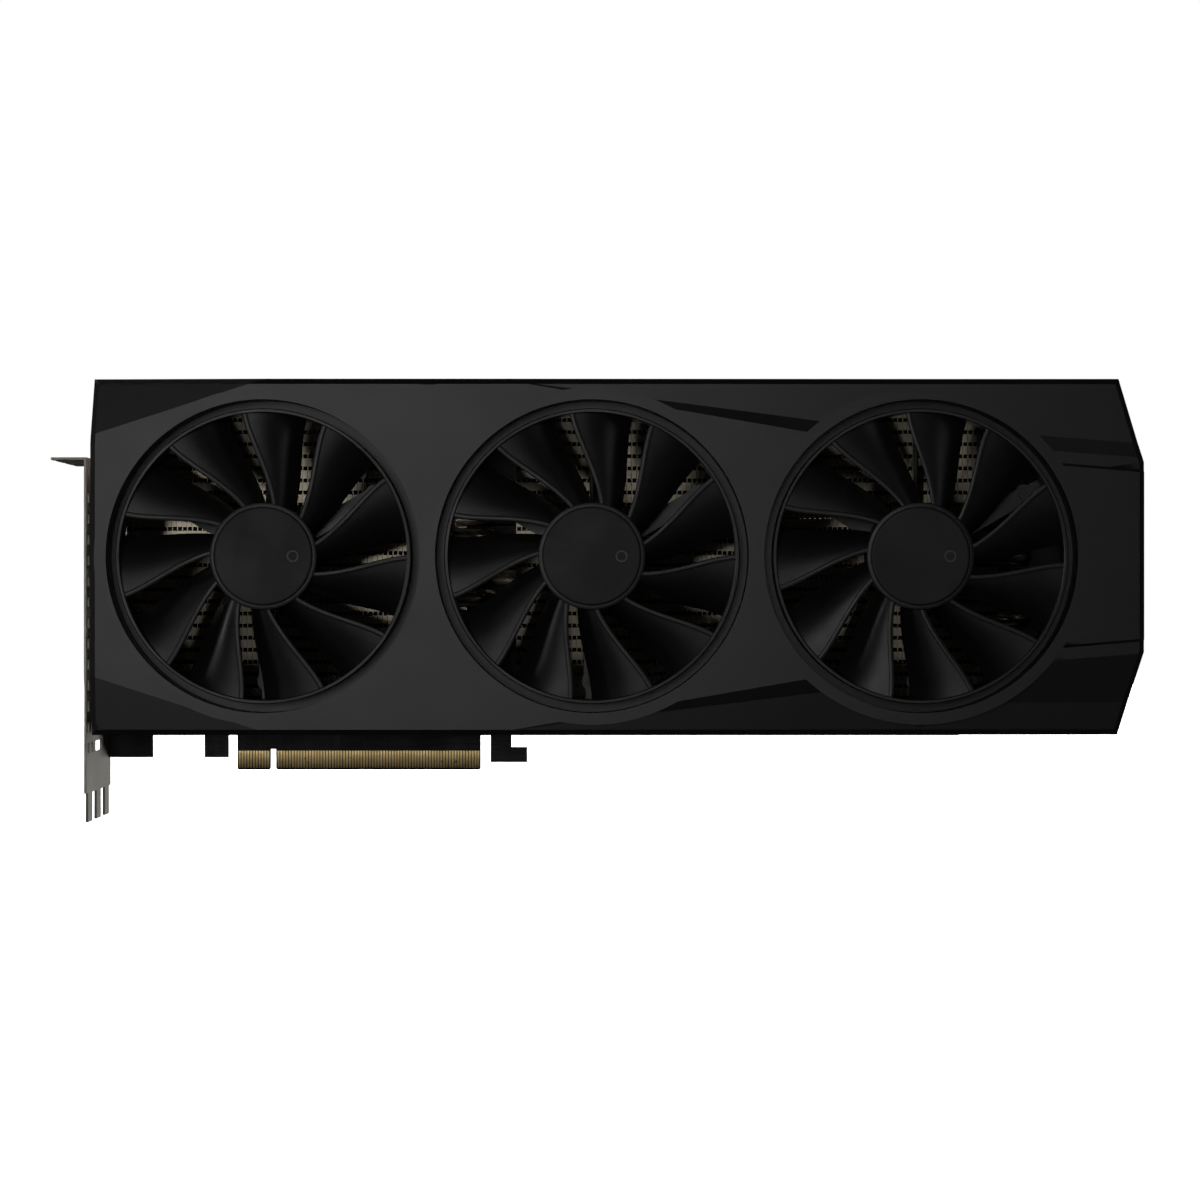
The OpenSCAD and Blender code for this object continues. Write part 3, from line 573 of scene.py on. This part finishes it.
def beyond(x, z, at, slope):
    """How far a point lies outside a crease, up or down from mid-height."""
    return abs(z - MID_Z) - (at[1] + slope * (x - at[0]))


# Creases on either side of mid-height: (x, height from mid-height) and slope
LEFT_CREASE = ((-51.0, 41.4), 0.325)
STEP_IN = ((127.7, 50.7), -0.172)
STEP_OUT = ((127.7, 52.1), -0.1437)
TAIL_STEP_IN = ((265.3, 30.2), -0.083)
TAIL_STEP_OUT = ((265.3, 34.9), -0.078)
# How steeply the face falls beyond its creases, above (1) and below (-1) mid-height
LEFT_SLOPE = {1: 0.185, -1: 0.09}
OUTER_SLOPE = {1: -0.012, -1: 0.095}
OUTER_BASE = 0.55   # depth of the outer facet where its crease starts
OUTER_GAIN = 0.0118  # and its growth along X
STEP_SLOPE = 0.28
TAIL_STEP_SLOPE = 0.18
TAIL_LEDGE = 0.7    # depth of the ledge inside the tail's step
TAIL_LEDGE_SLOPE = 0.85
# Inside the third opening the two ends' creases swap over between two lines
SPLIT_X = FANS[2][1].x
SPLIT_W = 0.5


def facet_depth(x, z):
    """How far the face lies behind its front plane."""
    side = 1 if z > MID_Z else -1
    left = LEFT_SLOPE[side] * beyond(x, z, *LEFT_CREASE)
    outer = (OUTER_BASE + OUTER_GAIN * (min(x, SPLIT_X) - STEP_OUT[0][0])
             + OUTER_SLOPE[side] * beyond(x, z, *STEP_OUT))
    if x < SPLIT_X:
        step = STEP_SLOPE * beyond(x, z, *STEP_IN)
    else:
        ledge = min(TAIL_LEDGE, TAIL_LEDGE_SLOPE * beyond(x, z, *TAIL_STEP_IN))
        step = max(ledge, TAIL_LEDGE + TAIL_STEP_SLOPE * beyond(x, z, *TAIL_STEP_OUT))
    return max(0.0, left, min(outer, step))


def outline_lines(points):
    """Each side of an outline as a point and its outward normal."""
    lines = []
    for i, a in enumerate(points):
        b = points[(i + 1) % len(points)]
        along = Vector((b[0] - a[0], b[1] - a[1])).normalized()
        lines.append((Vector(a), Vector((along.y, -along.x))))
    return lines


def edge_depth(x, z, lines):
    """How much further back the chamfer round the face lies."""
    near = min(-(Vector((x, z)) - at).dot(out) for at, out in lines)
    return EDGE_SLOPE * max(0.0, EDGE_W - near)


def crease_planes():
    """The lines along which the face changes slope, as (point, normal) in X and Z."""
    planes = [((SPLIT_X - SPLIT_W, MID_Z), (1, 0)), ((SPLIT_X + SPLIT_W, MID_Z), (1, 0)),
              ((0, MID_Z), (0, 1))]
    for side in (1, -1):
        (x, height), slope = TAIL_STEP_IN
        ledge = ((x, height + TAIL_LEDGE / TAIL_LEDGE_SLOPE), slope)
        for (x, height), slope in (LEFT_CREASE, STEP_IN, TAIL_STEP_IN, ledge, TAIL_STEP_OUT):
            planes.append(((x, MID_Z + side * height), (-slope * side, 1)))
        # where the outer facet meets the front plane and the two steps
        (x, height), slope = STEP_OUT
        lean = OUTER_SLOPE[side]
        tail_base = OUTER_BASE + OUTER_GAIN * (SPLIT_X - x)
        # outer = base + gain * (X - x) + lean * (h - height - slope * (X - x))
        for (x_in, h_in), s_in, k, level, base, gain in (
            ((x, height), 0.0, 0.0, 0.0, OUTER_BASE, OUTER_GAIN),
            (*STEP_IN, STEP_SLOPE, 0.0, OUTER_BASE, OUTER_GAIN),
            (*TAIL_STEP_OUT, TAIL_STEP_SLOPE, TAIL_LEDGE, tail_base, 0.0),
        ):
            # outer - level - k * (h - h_in - s_in * (X - x_in)) = a + b * X + c * h
            c = lean - k
            b = gain - lean * slope + k * s_in
            a = (base - level - gain * x - lean * height + lean * slope * x
                 + k * (h_in - s_in * x_in))
            h_at = -(a + b * x) / c
            planes.append(((x, MID_Z + side * h_at), (b / c * side, 1)))
    return planes


def faced_body(inset, drop, y_rear):
    """A closed body with the shroud's outline and its faceted front."""
    points = shroud_outline(inset)
    lines = outline_lines(shroud_outline(0))
    bm = bmesh.new()
    bm.faces.new([bm.verts.new((x, 0, z)) for x, z in points])
    cuts = crease_planes()
    cuts += [((at.x - out.x * EDGE_W, at.y - out.y * EDGE_W), (out.x, out.y)) for at, out in lines]
    # the mitres between neighbouring edges
    cuts += [((at.x, at.y), (out.x - lines[i - 1][1].x, out.y - lines[i - 1][1].y))
             for i, (at, out) in enumerate(lines)]
    for at, normal in cuts:
        geometry = bm.verts[:] + bm.edges[:] + bm.faces[:]
        bmesh.ops.bisect_plane(bm, geom=geometry, dist=0.0005, plane_co=(at[0], 0, at[1]),
                               plane_no=Vector((normal[0], 0, normal[1])).normalized())
    front = SHROUD_LOW.y + drop
    for v in bm.verts:
        v.co.y = front + facet_depth(v.co.x, v.co.z) + edge_depth(v.co.x, v.co.z, lines)
    made = bmesh.ops.extrude_face_region(bm, geom=bm.faces[:])
    for item in made["geom"]:
        if isinstance(item, bmesh.types.BMVert):
            item.co.y = y_rear
    bmesh.ops.recalc_face_normals(bm, faces=bm.faces)
    return piece_from_bmesh("shroud_shell", bm)


def tail_walls():
    """The tail's walls, which reach back to the rear plate."""
    x0, x1 = TAIL_X0, SHROUD_HIGH.x
    low, high, cut = SHROUD_LOW.z, SHROUD_HIGH.z, TAIL_CUT
    outer = [(x0, low), (x1 - cut[0], low), (x1, low + cut[1]), (x1, high - cut[1]),
             (x1 - cut[0], high), (x0, high)]
    inner = [(x0, low + WALL), (x1 - cut[0] - WALL, low + WALL), (x1 - WALL, low + cut[1]),
             (x1 - WALL, high - cut[1]), (x1 - cut[0] - WALL, high - WALL), (x0, high - WALL)]
    bm = bmesh.new()
    rows = []
    for y in (WALL_REAR - 1.0, SHROUD_HIGH.y):
        rows.append([[bm.verts.new((x, y, z)) for x, z in ring] for ring in (outer, inner)])
    front, rear = rows
    for i in range(len(outer) - 1):
        bm.faces.new((front[0][i], front[0][i + 1], rear[0][i + 1], rear[0][i]))
        bm.faces.new((front[1][i], rear[1][i], rear[1][i + 1], front[1][i + 1]))
        bm.faces.new((front[0][i], front[1][i], front[1][i + 1], front[0][i + 1]))
        bm.faces.new((rear[0][i], rear[0][i + 1], rear[1][i + 1], rear[1][i]))
    for i in (0, len(outer) - 1):
        bm.faces.new((front[0][i], rear[0][i], rear[1][i], front[1][i]))
    bmesh.ops.recalc_face_normals(bm, faces=bm.faces)
    return piece_from_bmesh("tool", bm)


def vent_boxes():
    """The slots through the upper and lower walls and through the tail."""
    first, pitch, width, count = SHROUD_LOW.x + 10, 34, 26, 10
    front, rear = -38, -20
    boxes = []
    for k in range(count):
        x = first + k * pitch
        for z in (SHROUD_LOW.z - 1, SHROUD_HIGH.z - WALL - 1):
            boxes.append(((x, front, z), (x + width, rear, z + WALL + 2)))
    tail_front, tail_pitch, tail_half = -50, 10, 1.8
    for k in range(-2, 3):
        z = (SHROUD_LOW.z + SHROUD_HIGH.z) / 2 + k * tail_pitch
        boxes.append(((SHROUD_HIGH.x - 6, tail_front, z - tail_half),
                      (SHROUD_HIGH.x + 1, rear, z + tail_half)))
    return boxes


def build_shroud():
    """The shroud's shell with its openings and slots."""
    shell = faced_body(0.0, 0.0, WALL_REAR)
    boolean(shell, faced_body(WALL, WALL, WALL_REAR + 1), "DIFFERENCE")
    boolean(shell, tail_walls(), "UNION")
    # the left end is open behind the face
    left = (SHROUD_LOW.x - 1, SHROUD_LOW.y + 6, SHROUD_LOW.z + WALL)
    boolean(shell, boxes_tool([(left, (SHROUD_LOW.x + 4, 0, SHROUD_HIGH.z - WALL))]), "DIFFERENCE")
    for _, at in FANS:
        centre = (at.x, at.z)
        # a lip round each opening, level with the front plane
        boolean(shell, cylinder_tool(centre, LIP_R, SHROUD_LOW.y, SHROUD_LOW.y + 5), "UNION")
        boolean(shell, cylinder_tool(centre, DUCT_R, SHROUD_LOW.y - 2, 0), "DIFFERENCE")
    boolean(shell, boxes_tool(vent_boxes()), "DIFFERENCE")
    bevel(shell, 0.35, 12)
    finish_piece(shell, "shroud_plastic", "card", ["front_shroud"])
    flatten(shell)
    return shell


RIB_ANGLES = (30, 150, 270)
RIB_R = 42        # the frame's screws are on this radius, in a boss at the end of each rib
RIB_HALF = 2
RIB_FRONT = -43.5
BOSS_R = (1.0, 3.0)


def add_rib(bm, at, angle):
    """One rib and its boss, which hold the fan's frame behind the duct."""
    turn = math.radians(angle)
    out = Vector((math.cos(turn), 0, math.sin(turn)))
    side = Vector((-out.z, 0, out.x)) * RIB_HALF
    base = Vector((at.x, 0, at.z))
    corners = [base + out * r + side * s for r in (RIB_R, DUCT_R + 0.8) for s in (-1, 1)]
    verts = [bm.verts.new((c.x, y, c.z)) for y in (RIB_FRONT, DUCT_REAR) for c in corners]
    for face in BOX_SIDES:
        bm.faces.new([verts[i] for i in face])
    hole, boss = BOSS_R
    add_turned(bm, [(hole, RIB_FRONT), (boss, RIB_FRONT), (boss, DUCT_REAR), (hole, DUCT_REAR)],
               (at.x + RIB_R * out.x, at.z + RIB_R * out.z), 32)


def build_ducts():
    """The round walls behind the shroud's openings, with the ribs for the fans' frames."""
    front = SHROUD_LOW.y + DUCT_FRONT
    inner, outer, ledge = DUCT_R + 0.02, DUCT_R + DUCT_WALL, RING_R - 0.9
    for n, (_, at) in enumerate(FANS, 1):
        bm = bmesh.new()
        add_turned(bm, [(inner, front), (outer, front), (outer, DUCT_REAR), (inner, DUCT_REAR),
                        (inner, LEDGE[1]), (ledge, LEDGE[1]), (ledge, LEDGE[0]),
                        (inner, LEDGE[0])],
                   (at.x, at.z), 160)
        for angle in RIB_ANGLES:
            add_rib(bm, at, angle)
        bmesh.ops.recalc_face_normals(bm, faces=bm.faces)
        piece = piece_from_bmesh(f"shroud_duct_{n}", bm)
        finish_piece(piece, "shroud_plastic", "card")


# ---------------------------------------------------------------- fans

BLADES = 11
SWEEP = 18.0                 # degrees between the front edge's root and its tip
SWEEP_CURVE = 1.77
FAN_TURN = (0.5, 0.8, -2.5)  # how far each fan is turned at rest, in degrees
SPAN = 25.5                  # degrees that a blade covers at its tip
BLADE_FRONT = -60.5
BLADE_REAR = (-48.8, -50.8)  # at the hub and at the ring
BLADE_T = 1.2
BLADE_IN = 17.2
BLADE_OUT = RING_R - 0.8
LIP_W = 1.9
LIP_SET = 0.35               # how far the blade's face starts behind its lip
RING_W = 1.4
RING_REAR = -50.0
HUB_R = 17.9
HUB_FRONT = -61.2
HUB_REAR = -47.0
HUB_WALL = 1.4
SHAFT_R = 1.5
BOSS_OUT_R = 3.6
BOSS_REAR = -57.8
CAP_R = 16.4
CAP_FRONT = -61.62
MARK_AT = 9.9                # the small ring's place, from the hub's centre


def blade_front_y(s, q):
    """Depth of a blade's face: s runs from hub to ring, q from its lip to its trailing edge."""
    rear = BLADE_REAR[0] * (1 - s) + BLADE_REAR[1] * s - BLADE_T
    fall = 0.20 * q + 0.15 * q * q + 0.65 * q ** 3
    return BLADE_FRONT + LIP_SET + (rear - BLADE_FRONT - LIP_SET) * fall


def blade_columns(radius, s):
    """Points across a blade at one radius: (angle behind the leading edge, y), face then back."""
    span = math.radians(SPAN * (0.94 + 0.06 * s))
    lip = LIP_W / radius
    edge = 0.25 / radius
    face = [(0.0, BLADE_FRONT + 1.1), (0.0, BLADE_FRONT + 0.3), (edge * 0.4, BLADE_FRONT + 0.08),
            (edge, BLADE_FRONT), (lip - edge, BLADE_FRONT), (lip - edge * 0.3, BLADE_FRONT + 0.1),
            (lip, BLADE_FRONT + LIP_SET)]
    steps = 10
    for k in range(1, steps + 1):
        q = k / steps
        face.append((lip + (span - lip) * q, blade_front_y(s, q)))
    back = []
    for k in range(steps, 0, -1):
        q = k / steps
        thin = BLADE_T * (1 - 0.45 * q)
        back.append((lip + (span - lip) * q - 0.12 / radius, blade_front_y(s, q) + thin))
    back.append((lip * 0.6, BLADE_FRONT + 1.5))
    return face + back


def add_blade(bm, centre, turn):
    """One blade: a closed skin through its sections from hub to ring."""
    rows = 18
    rings = []
    for i in range(rows + 1):
        s = i / rows
        radius = BLADE_IN + (BLADE_OUT - BLADE_IN) * s
        lead = turn - math.radians(SWEEP) * (1 - s) ** SWEEP_CURVE
        rings.append([
            bm.verts.new((centre[0] + radius * math.cos(lead - a), y,
                          centre[1] + radius * math.sin(lead - a)))
            for a, y in blade_columns(radius, s)
        ])
    count = len(rings[0])
    for here, there in zip(rings, rings[1:]):
        for k in range(count):
            m = (k + 1) % count
            bm.faces.new((here[k], there[k], there[m], here[m]))
    bm.faces.new(rings[0])
    bm.faces.new(reversed(rings[-1]))


def build_impeller(n, body, at):
    """The blades with their outer ring and hub cup."""
    centre = (at.x, at.z)
    bm = bmesh.new()
    for k in range(BLADES):
        add_blade(bm, centre, 2 * math.pi * k / BLADES + math.radians(FAN_TURN[n - 1]))
    r_in, r_out = RING_R - RING_W, RING_R
    y0, y1 = RING_LOW.y + 0.2, RING_REAR
    add_turned(bm, [(r_in, y0 + 0.3), (r_in + 0.3, y0), (r_out - 0.3, y0), (r_out, y0 + 0.3),
                    (r_out, y1 - 0.3), (r_out - 0.3, y1), (r_in + 0.3, y1), (r_in, y1 - 0.3)],
               centre, 160)
    cup = HUB_FRONT + 1.6
    add_turned(bm, [(SHAFT_R, HUB_FRONT + 1.2), (SHAFT_R, HUB_FRONT + 0.5),
                    (CAP_R + 0.08, HUB_FRONT + 0.5), (CAP_R + 0.1, HUB_FRONT + 0.08),
                    (CAP_R + 0.2, HUB_FRONT), (HUB_R - 0.3, HUB_FRONT),
                    (HUB_R - 0.08, HUB_FRONT + 0.1), (HUB_R, HUB_FRONT + 0.5),
                    (HUB_R, HUB_REAR), (HUB_R - HUB_WALL, HUB_REAR), (HUB_R - HUB_WALL, cup),
                    (BOSS_OUT_R, cup), (BOSS_OUT_R, BOSS_REAR), (SHAFT_R, BOSS_REAR)],
               centre)
    bmesh.ops.recalc_face_normals(bm, faces=bm.faces)
    piece = piece_from_bmesh(f"fan_{n}_rotor", bm)
    finish_piece(piece, "fan_plastic", body, [f"fan_{n}_impeller"], 34)


def build_cap(n, body, at):
    """The disc on the hub and the plain small ring on it."""
    face, rear = CAP_FRONT, HUB_FRONT + 0.48
    middle = 0.0005
    bm = bmesh.new()
    add_turned(bm, [(middle, face), (8.0, face), (CAP_R - 0.8, face), (CAP_R - 0.5, face),
                    (CAP_R - 0.15, face + 0.12), (CAP_R, face + 0.4), (CAP_R, rear),
                    (middle, rear)], (at.x, at.z))
    bmesh.ops.recalc_face_normals(bm, faces=bm.faces)
    piece = piece_from_bmesh(f"fan_{n}_hub_disc", bm)
    finish_piece(piece, "hub_cap_film", body, [f"fan_{n}_cap"])
    bm = bmesh.new()
    add_turned(bm, [(1.35, face + 0.1), (1.5, face - 0.09), (1.95, face - 0.09), (2.1, face + 0.1)],
               (at.x + MARK_AT, at.z), 48)
    bmesh.ops.recalc_face_normals(bm, faces=bm.faces)
    piece = piece_from_bmesh(f"fan_{n}_hub_ring", bm)
    finish_piece(piece, "mark_grey", body)


# ---------------------------------------------------------------- cooler

FIN_PITCH = 1.7
FIN_T = 0.3
TAB_PITCH = 4.1
TAB_H = 2.75
NOTCH_Z = 106.0   # near the power sockets the fins' rear part ends at this height
NOTCH_Y = -18.0   # and their upper part ends at this depth


def build_fin_stack(node):
    """Thin fins with a row of folded tabs along their front, upper and lower edges."""
    low, high = box_mm(node)
    sockets_low, sockets_high = box_mm("power_sockets")
    count = int((high.x - low.x - FIN_T) / FIN_PITCH)
    tabs = int((high.z - low.z) / TAB_PITCH)
    bm = bmesh.new()
    for k in range(count + 1):
        x = low.x + k * FIN_PITCH
        notched = sockets_low.x - 4 < x < sockets_high.x + 4
        top = NOTCH_Z if notched else high.z
        if notched:
            add_box(bm, (x, low.y + 0.25, NOTCH_Z - 0.05), (x + FIN_T, NOTCH_Y, high.z))
        add_box(bm, (x, low.y + 0.25, low.z), (x + FIN_T, high.y, top))
        if k == count:
            break
        fold = x + FIN_PITCH - 0.12
        for m in range(tabs):
            z = low.z + 0.7 + m * TAB_PITCH
            add_box(bm, (x, low.y, z), (fold, low.y + 0.3, z + TAB_H))
        rear = NOTCH_Y - 0.5 if notched else high.y - 4
        add_box(bm, (x + FIN_T, low.y + 4, low.z), (fold, high.y - 4, low.z + 0.3))
        add_box(bm, (x + FIN_T, low.y + 4, high.z - 0.3), (fold, rear, high.z))
        add_box(bm, (x + FIN_T, high.y - 0.3, low.z), (fold, high.y, top))
    bmesh.ops.recalc_face_normals(bm, faces=bm.faces)
    piece = piece_from_bmesh(f"{node}_fins", bm)
    finish_piece(piece, "fin_aluminium", "card", [node])
    return piece


# ---------------------------------------------------------------- board

KEY_HALF = 0.95        # half the key notch's width
BOARD_HALF = 0.8
CONTACT_PITCH = 1.0
CONTACT_HALF = 0.35
CONTACT_PROUD = 0.05
CONTACTS = (11, 71)    # on the bracket's side of the notch and on the tail's
BEVEL_TOP = 1.3        # height at which the connector's bevel starts
CONTACT_END = 0.35     # height and depth at which the contacts end
CONTACT_END_Y = 0.5


def build_contacts():
    """Gold fingers that run down over the connector's bevel, on both sides of the board."""
    high = box_mm("edge_contacts")[1]
    first = KEY_HALF + 0.85
    near, far = CONTACTS
    places = [-first - k * CONTACT_PITCH for k in range(near)]
    places += [first + k * CONTACT_PITCH for k in range(far)]
    bm = bmesh.new()
    for side in (-1, 1):
        flat, raised = side * BOARD_HALF, side * (BOARD_HALF + CONTACT_PROUD)
        end = (CONTACT_END, side * CONTACT_END_Y, side * (CONTACT_END_Y + CONTACT_PROUD))
        for x in places:
            rows = [(high.z, flat, raised), (BEVEL_TOP, flat, raised), end]
            verts = [
                [bm.verts.new((x + dx, y, z)) for dx, y in
                 ((-CONTACT_HALF, inner), (-CONTACT_HALF, outer),
                  (CONTACT_HALF, outer), (CONTACT_HALF, inner))]
                for z, inner, outer in rows
            ]
            for a, b in zip(verts, verts[1:]):
                for k in range(4):
                    bm.faces.new((a[k], a[(k + 1) % 4], b[(k + 1) % 4], b[k]))
            bm.faces.new(verts[0])
            bm.faces.new(reversed(verts[-1]))
    bmesh.ops.recalc_face_normals(bm, faces=bm.faces)
    piece = piece_from_bmesh("edge_contact_fingers", bm)
    finish_piece(piece, "contact_gold", "card", ["edge_contacts"])


# ---------------------------------------------------------------- CAD nodes with rounded edges

# each node's width of rounding
REFINED = {
    "io_bracket": 0.22, "back_plate": 0.3, "circuit_board": 0.12, "power_sockets": 0.15,
    "hdmi_socket": 0.15, "display_socket_1": 0.15, "display_socket_2": 0.15,
    "display_socket_3": 0.15, "memory_chips": 0.12, "power_chokes": 0.3, "capacitors": 0.35,
    "retention_plate": 0.2, "switch_slider": 0.15, "switch_housing": 0.12, "fan_header": 0.2,
    "heat_pipes": 0.1,
}
ROUND_NODES = ("heat_pipes",)   # round all over, so shaded smooth
REFINE_ANGLE = 35


def refine(node, width_mm):
    """A copy of a CAD node with its edges rounded, which stands for it."""
    bm = bmesh.new()
    bm.from_mesh(frame["nodes"][node].data)
    bmesh.ops.remove_doubles(bm, verts=bm.verts, dist=1e-6)
    bmesh.ops.dissolve_limit(bm, angle_limit=math.radians(0.5), verts=bm.verts, edges=bm.edges)
    mesh = bpy.data.meshes.new(node + "_part")
    bm.to_mesh(mesh)
    bm.free()
    piece = link_mesh(node + "_part", mesh)
    bevel(piece, width_mm, REFINE_ANGLE)
    finish_piece(piece, SLOT_OF[node], BODY_OF[node], [node], REFINE_ANGLE)
    if node not in ROUND_NODES:
        flatten(piece)
    return piece


def dress_cad_nodes():
    """Gives every CAD node its material."""
    for name, node in frame["nodes"].items():
        node.data.materials.clear()
        node.data.materials.append(MATERIALS[SLOT_OF[name]])


def main():
    add_camera()
    set_light()
    add_stage()
    MATERIALS.update(make_materials())
    dress_cad_nodes()
    shroud = build_shroud()
    build_ducts()
    for n, (body, at) in enumerate(FANS, 1):
        build_impeller(n, body, at)
        build_cap(n, body, at)
    build_contacts()
    refined = {node: refine(node, width) for node, width in REFINED.items()}
    cooler = [build_fin_stack("fin_stack_main"), build_fin_stack("fin_stack_tail"),
              refined["heat_pipes"]]
    share_lights(shroud, cooler, refined["io_bracket"])


main()
